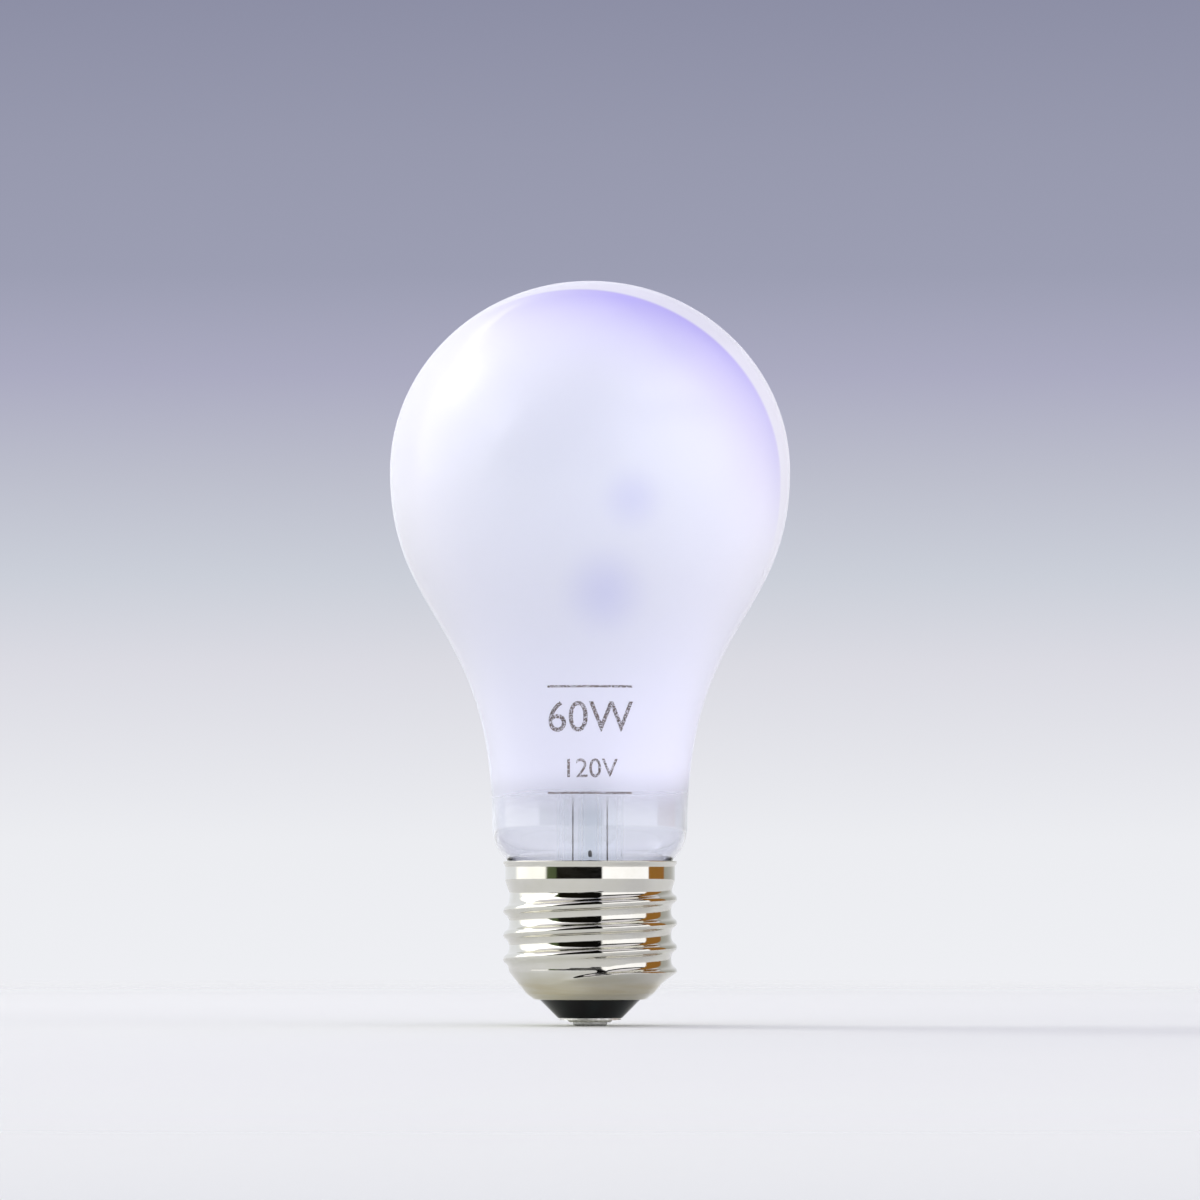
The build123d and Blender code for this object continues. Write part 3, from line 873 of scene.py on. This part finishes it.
def mirrored_room(nodes, side, depth, height, studio):
    """The studio with the walls and dark gaps that only mirrors see."""
    turn = nodes.math("ARCTAN2", side, nodes.math("MULTIPLY", depth, -1.0))
    around = nodes.math("MULTIPLY_ADD", turn, 1 / (2 * pi), 0.5)
    walls = turn_ramp(nodes, around, ROOM)
    tops = turn_ramp(nodes, around, [(angle, (*pair, 0)) for angle, pair in ROOM_TOPS])
    wall_top, gap_top, _ = nodes.parts(tops)
    over_gap = nodes.span(nodes.math("SUBTRACT", height, gap_top), *ROOM_EDGE)
    over_wall = nodes.span(nodes.math("SUBTRACT", height, wall_top), *ROOM_EDGE)
    return nodes.mix(over_wall, walls, nodes.mix(over_gap, GAP_TONE, studio))


def studio_light(nodes, direction, rays):
    """Light from every direction, for what it lights and for what mirrors it."""
    side, depth, height = nodes.parts(direction)
    diffuse = rays["Is Diffuse Ray"]
    over = light_over(nodes, side, depth, height, diffuse)
    sheet = nodes.mix(nodes.span(depth, *SHEET_DEPTHS), SHEET_NEAR, SHEET_FAR)
    on_sheet = nodes.span(nodes.dot(direction, SHEET_NORMAL), *SHEET_EDGE)
    studio = nodes.mix(on_sheet, over, sheet)
    studio = nodes.mix(diffuse, mirrored_room(nodes, side, depth, height, studio), studio)
    straight = nodes.span(depth, *THROUGH_DEPTHS)
    through = nodes.math("MULTIPLY", rays["Is Transmission Ray"], straight)
    studio = nodes.mix(through, studio, THROUGH_TONE)
    return nodes.mix(nodes.span(height, *GROUND_EDGE), GROUND_TONE, studio)


# Settings

class LampGlass(bpy.types.PropertyGroup):
    """Sizes and colour of the glass bulb."""

    tint: bpy.props.FloatVectorProperty(
        name="Tint", description="Colour of the frosted coat",
        default=(0.94, 0.94, 1.0), subtype="COLOR", size=3, min=0, max=1,
    )
    wall: bpy.props.FloatProperty(
        name="Wall", description="Thickness of the glass",
        default=0.6 * MM, unit="LENGTH", min=0.1 * MM,
    )
    clear_height: bpy.props.FloatProperty(
        name="Clear height", description="Height below which the glass is clear",
        default=32 * MM, unit="LENGTH",
    )
    frost_height: bpy.props.FloatProperty(
        name="Frost height", description="Height above which the frost is full",
        default=41 * MM, unit="LENGTH",
    )
    segments: bpy.props.IntProperty(
        name="Segments", description="Faces around the bulb",
        default=192, min=32, max=256,
    )


class LampCap(bpy.types.PropertyGroup):
    """Sizes and colour of the screw cap."""

    wall: bpy.props.FloatProperty(
        name="Wall", description="Thickness of the sheet",
        default=0.25 * MM, unit="LENGTH", min=0.05 * MM,
    )
    tone: bpy.props.FloatVectorProperty(
        name="Tone", description="Colour of the plating",
        default=(0.7, 0.69, 0.63), subtype="COLOR", size=3, min=0, max=1,
    )
    segments: bpy.props.IntProperty(
        name="Segments", description="Faces around the cap",
        default=216, min=32, max=360,
    )


class LampPrint(bpy.types.PropertyGroup):
    """Generic rating printed on the neck."""

    height: bpy.props.FloatProperty(
        name="Height", description="Height of the print's centre",
        default=43 * MM, unit="LENGTH",
    )
    letter: bpy.props.FloatProperty(
        name="Letter", description="Size of the larger letters",
        default=6.4 * MM, unit="LENGTH",
    )
    words: bpy.props.StringProperty(
        name="Upper words", description="Generic rating on the upper line",
        default="60W",
    )
    words_low: bpy.props.StringProperty(
        name="Lower words", description="Generic rating on the lower line",
        default="120V",
    )


class LampFilament(bpy.types.PropertyGroup):
    """Sizes of the coiled filament."""

    wire: bpy.props.FloatProperty(
        name="Wire", description="Diameter of the coiled strand",
        default=0.12 * MM, unit="LENGTH",
    )
    pitch: bpy.props.FloatProperty(
        name="Pitch", description="Distance between turns of the coil",
        default=0.3 * MM, unit="LENGTH",
    )


class LampStudio(bpy.types.PropertyGroup):
    """Camera, floor and light of the stage."""

    distance: bpy.props.FloatProperty(
        name="Distance", description="Distance from the camera to the lamp",
        default=0.9, unit="LENGTH",
    )
    camera_height: bpy.props.FloatProperty(
        name="Camera height", description="Height of the camera over the floor",
        default=18 * MM, unit="LENGTH",
    )
    aim_height: bpy.props.FloatProperty(
        name="Aim height", description="Height on the lamp at the picture's centre",
        default=64 * MM, unit="LENGTH",
    )
    aim_side: bpy.props.FloatProperty(
        name="Aim side", description="Sideways place of the picture's centre",
        default=1.5 * MM, unit="LENGTH",
    )
    frame_height: bpy.props.FloatProperty(
        name="Frame height", description="Height of the view at the lamp",
        default=180.8 * MM, unit="LENGTH",
    )
    floor_tone: bpy.props.FloatVectorProperty(
        name="Floor tone", description="Colour of the floor",
        default=(0.63, 0.645, 0.585), subtype="COLOR", size=3, min=0, max=1,
    )
    level: bpy.props.FloatProperty(
        name="Light level", description="Strength of the surrounding light",
        default=1.04, min=0,
    )
    key: bpy.props.FloatProperty(
        name="Key", description="Power of the lamp on the left",
        default=3.2, unit="POWER", min=0,
    )
    key_side: bpy.props.FloatProperty(
        name="Key side", description="Angle of the key lamp from the front",
        default=radians(-112), subtype="ANGLE",
    )
    key_rise: bpy.props.FloatProperty(
        name="Key rise", description="Angle of the key lamp over the floor",
        default=radians(42), subtype="ANGLE",
    )


GROUPS = {
    "lamp_glass": LampGlass,
    "lamp_cap": LampCap,
    "lamp_print": LampPrint,
    "lamp_filament": LampFilament,
    "lamp_studio": LampStudio,
}


# Operators

class LAMP_OT_glass(bpy.types.Operator):
    """Builds the frosted glass bulb over its CAD solid."""

    bl_idname = "lamp.glass"
    bl_label = "Glass bulb"

    def execute(self, context):
        settings = context.scene.lamp_glass
        outside = [ring(r, z, settings.segments) for r, z in bulb_outline(0)]
        inside = [ring(r, z, settings.segments) for r, z in bulb_outline(settings.wall)]
        mesh = grid_mesh("bulb_glass", outside + inside[::-1], closed=False)
        close_up(mesh, settings.segments)
        tint = tuple(settings.tint)
        material = frosted_glass(tint, settings.clear_height, settings.frost_height)
        bulb = new_object("bulb_glass", mesh, material)
        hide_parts("glass_bulb")
        return {"FINISHED"}


class LAMP_OT_print(bpy.types.Operator):
    """Prints a generic rating on the front of the neck."""

    bl_idname = "lamp.print"
    bl_label = "Printed rating"

    def execute(self, context):
        settings = context.scene.lamp_print
        size = settings.letter
        meshes = [
            text_mesh("rating_power", settings.words, size, POWER_LIFT * size),
            text_mesh(
                "rating_voltage", settings.words_low, VOLTAGE_SIZE * size, VOLTAGE_LIFT * size,
            ),
        ]
        for name, lift in RULE_LIFTS.items():
            meshes.append(bar_mesh(name, RULE_WIDTH * size, RULE_HEIGHT * size, lift * size))
        material = ink()
        for mesh in meshes:
            wrap_on_neck(mesh, settings.height)
            new_object(mesh.name + "_print", mesh, material)
        return {"FINISHED"}


class LAMP_OT_cap(bpy.types.Operator):
    """Builds the rolled nickel shell and finishes the insulator and contacts."""

    bl_idname = "lamp.cap"
    bl_label = "Screw cap"

    def execute(self, context):
        settings = context.scene.lamp_cap
        outside = shell_rows(0, settings.segments)
        inside = shell_rows(settings.wall, settings.segments)
        mesh = close_up(grid_mesh("cap_shell", outside + inside[::-1], closed=True))
        plate = nickel(tuple(settings.tone), roughness=0.055, scratch=0.06)
        shell = new_object("cap_shell", mesh, plate)
        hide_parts("screw_shell")
        dress("insulator", black_glass())
        contact = dull_metal("contact_plate", (0.86, 0.85, 0.8), roughness=0.35)
        dress("centre_contact", contact)
        solder = dull_metal("solder", (0.85, 0.85, 0.86), roughness=0.3)
        dress("centre_solder", solder)
        dress("side_solder", solder)
        dress("basing_cement", cement())
        return {"FINISHED"}


class LAMP_OT_mount(bpy.types.Operator):
    """Coils the filament and finishes the glass stem and its wires."""

    bl_idname = "lamp.mount"
    bl_label = "Filament mount"

    def execute(self, context):
        settings = context.scene.lamp_filament
        coil_radius = (FILAMENT_HIGH.z - FILAMENT_LOW.z) / 2 - settings.wire / 2
        ring_radius = FILAMENT_HIGH.x - (FILAMENT_HIGH.z - FILAMENT_LOW.z) / 2
        centre_z = (FILAMENT_HIGH.z + FILAMENT_LOW.z) / 2
        start, sweep = radians(FILAMENT_START), radians(FILAMENT_SWEEP)
        count = round(ring_radius * sweep / settings.pitch) * COIL_POINTS
        path = []
        for i in range(count + 1):
            around = start + sweep * i / count
            spin = 2 * pi * i / COIL_POINTS
            radius = ring_radius + coil_radius * cos(spin)
            z = centre_z + coil_radius * sin(spin)
            path.append(Vector((radius * cos(around), radius * sin(around), z)))
        mesh = tube("filament_coil", path, settings.wire / 2, WIRE_SIDES)
        tungsten = dull_metal("tungsten", (0.2, 0.2, 0.21), roughness=0.4)
        coil = new_object("filament_coil", mesh, tungsten)
        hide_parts("filament")
        glass = stem_glass()
        for node in ("stem_flare", "exhaust_tube", "arbor_rod"):
            dress(node, glass)
        wire = dull_metal("nickel_wire", (0.85, 0.84, 0.82), roughness=0.45)
        copper = dull_metal("copper_wire", (0.6, 0.27, 0.16), roughness=0.3)
        for side in ("centre", "side"):
            dress("inner_lead_" + side, wire)
            dress("outer_lead_" + side, wire)
            dress("seal_wire_" + side, copper)
        support = dull_metal("support_metal", (0.4, 0.4, 0.42), roughness=0.3)
        for number in (1, 2, 3):
            dress(f"support_wire_{number}", support)
        return {"FINISHED"}


class LAMP_OT_studio(bpy.types.Operator):
    """Sets the pale floor, the light around the lamp and the camera."""

    bl_idname = "lamp.studio"
    bl_label = "Studio"

    def execute(self, context):
        settings = context.scene.lamp_studio
        self.floor(context, settings)
        self.world(context, settings)
        self.key(context, settings)
        self.camera(context, settings)
        context.scene.view_settings.view_transform = "Standard"
        return {"FINISHED"}

    def floor(self, context, settings):
        """Disc that fades out before the horizon and keeps the lamp's shadow."""
        material = bpy.data.materials.new("floor")
        material.use_nodes = True
        nodes = Nodes(material.node_tree)
        output = nodes.add("ShaderNodeOutputMaterial")
        paint = nodes.add("ShaderNodeBsdfDiffuse")
        clear = nodes.add("ShaderNodeBsdfTransparent")
        place = nodes.add("ShaderNodeTexCoord")
        length = nodes.add("ShaderNodeVectorMath", operation="LENGTH")
        nodes.link(place.outputs["Object"], length.inputs[0])
        grain = nodes.span(nodes.noise(4, detail=2), 0.3, 0.7)
        tone = tuple(settings.floor_tone)
        nodes.link(nodes.mix(grain, tone, share(tone, FLOOR_MOTTLE)), paint.inputs["Color"])
        fade = nodes.span(length.outputs["Value"], *FLOOR_FADE, smooth=True)
        nodes.blend(fade, paint, clear, output)
        rows = [ring(radius, 0, FLOOR_SEGMENTS) for radius in FLOOR_RINGS]
        mesh = grid_mesh("floor", rows, closed=False)
        obj = bpy.data.objects.new("floor", mesh)
        context.scene.collection.objects.link(obj)
        obj.data.materials.append(material)

    def world(self, context, settings):
        """Backdrop gradient for the camera, and the studio that lights and is reflected."""
        world = bpy.data.worlds.new("studio")
        context.scene.world = world
        world.use_nodes = True
        nodes = Nodes(world.node_tree)
        output = nodes.add("ShaderNodeOutputWorld")
        direction = nodes.add("ShaderNodeTexCoord").outputs["Generated"]
        rays = nodes.add("ShaderNodeLightPath").outputs
        light = nodes.add("ShaderNodeBackground")
        light.inputs["Strength"].default_value = settings.level
        nodes.link(studio_light(nodes, direction, rays), light.inputs["Color"])
        height = nodes.span(nodes.parts(direction)["Z"], *BACKDROP_RANGE)
        gradient = nodes.ramp(height, [(place, linear(*tone)) for place, tone in BACKDROP])
        view = nodes.add("ShaderNodeBackground")
        nodes.link(gradient, view.inputs["Color"])
        clear = nodes.math("MULTIPLY", rays["Is Transmission Ray"], rays["Is Singular Ray"])
        seen = nodes.math("MAXIMUM", rays["Is Camera Ray"], clear)
        nodes.blend(seen, light, view, output)

    def key(self, context, settings):
        """Large soft lamp on the left that draws the shadow out to the right."""
        data = bpy.data.lights.new("key", "AREA")
        data.shape = "RECTANGLE"
        data.size = data.size_y = KEY_SIZE
        data.energy = settings.key
        lamp = bpy.data.objects.new("key", data)
        context.scene.collection.objects.link(lamp)
        turn, rise = settings.key_side, settings.key_rise
        towards = Vector((sin(turn) * cos(rise), -cos(turn) * cos(rise), sin(rise)))
        lamp.location = KEY_DISTANCE * towards
        lamp.rotation_mode = "QUATERNION"
        lamp.rotation_quaternion = lamp.location.to_track_quat("Z", "Y")
        lamp.visible_glossy = False

    def camera(self, context, settings):
        """Camera low over the floor, aimed at the lamp's middle."""
        data = bpy.data.cameras.new("camera")
        camera = bpy.data.objects.new("camera", data)
        context.scene.collection.objects.link(camera)
        aim = Vector((settings.aim_side, 0, settings.aim_height))
        place = Vector((settings.aim_side, -settings.distance, settings.camera_height))
        camera.location = place
        camera.rotation_mode = "QUATERNION"
        camera.rotation_quaternion = (aim - place).to_track_quat("-Z", "Y")
        data.sensor_width = SENSOR_WIDTH
        data.lens = data.sensor_width * (aim - place).length / settings.frame_height
        data.clip_start, data.clip_end = CLIP_RANGE
        context.scene.camera = camera


OPERATORS = (LAMP_OT_glass, LAMP_OT_print, LAMP_OT_cap, LAMP_OT_mount, LAMP_OT_studio)


class LAMP_PT_panel(bpy.types.Panel):
    """Lists the lamp's settings and operators."""

    bl_label = "Lamp"
    bl_idname = "LAMP_PT_panel"
    bl_space_type = "VIEW_3D"
    bl_region_type = "UI"
    bl_category = "Lamp"

    def draw(self, context):
        layout = self.layout
        for name, group in GROUPS.items():
            box = layout.box()
            settings = getattr(context.scene, name)
            for key in group.__annotations__:
                box.prop(settings, key)
        for operator in OPERATORS:
            layout.operator(operator.bl_idname)


def register():
    """Registers the settings, operators and panel."""
    for name, group in GROUPS.items():
        bpy.utils.register_class(group)
        setattr(bpy.types.Scene, name, bpy.props.PointerProperty(type=group))
    for cls in (*OPERATORS, LAMP_PT_panel):
        bpy.utils.register_class(cls)


def unregister():
    """Takes the panel, operators and settings away again."""
    for cls in (LAMP_PT_panel, *OPERATORS[::-1]):
        bpy.utils.unregister_class(cls)
    for name, group in GROUPS.items():
        delattr(bpy.types.Scene, name)
        bpy.utils.unregister_class(group)


def main():
    """Builds the dressed lamp."""
    register()
    bpy.ops.lamp.glass()
    bpy.ops.lamp.print()
    bpy.ops.lamp.cap()
    bpy.ops.lamp.mount()
    bpy.ops.lamp.studio()


if __name__ == "__main__":
    main()
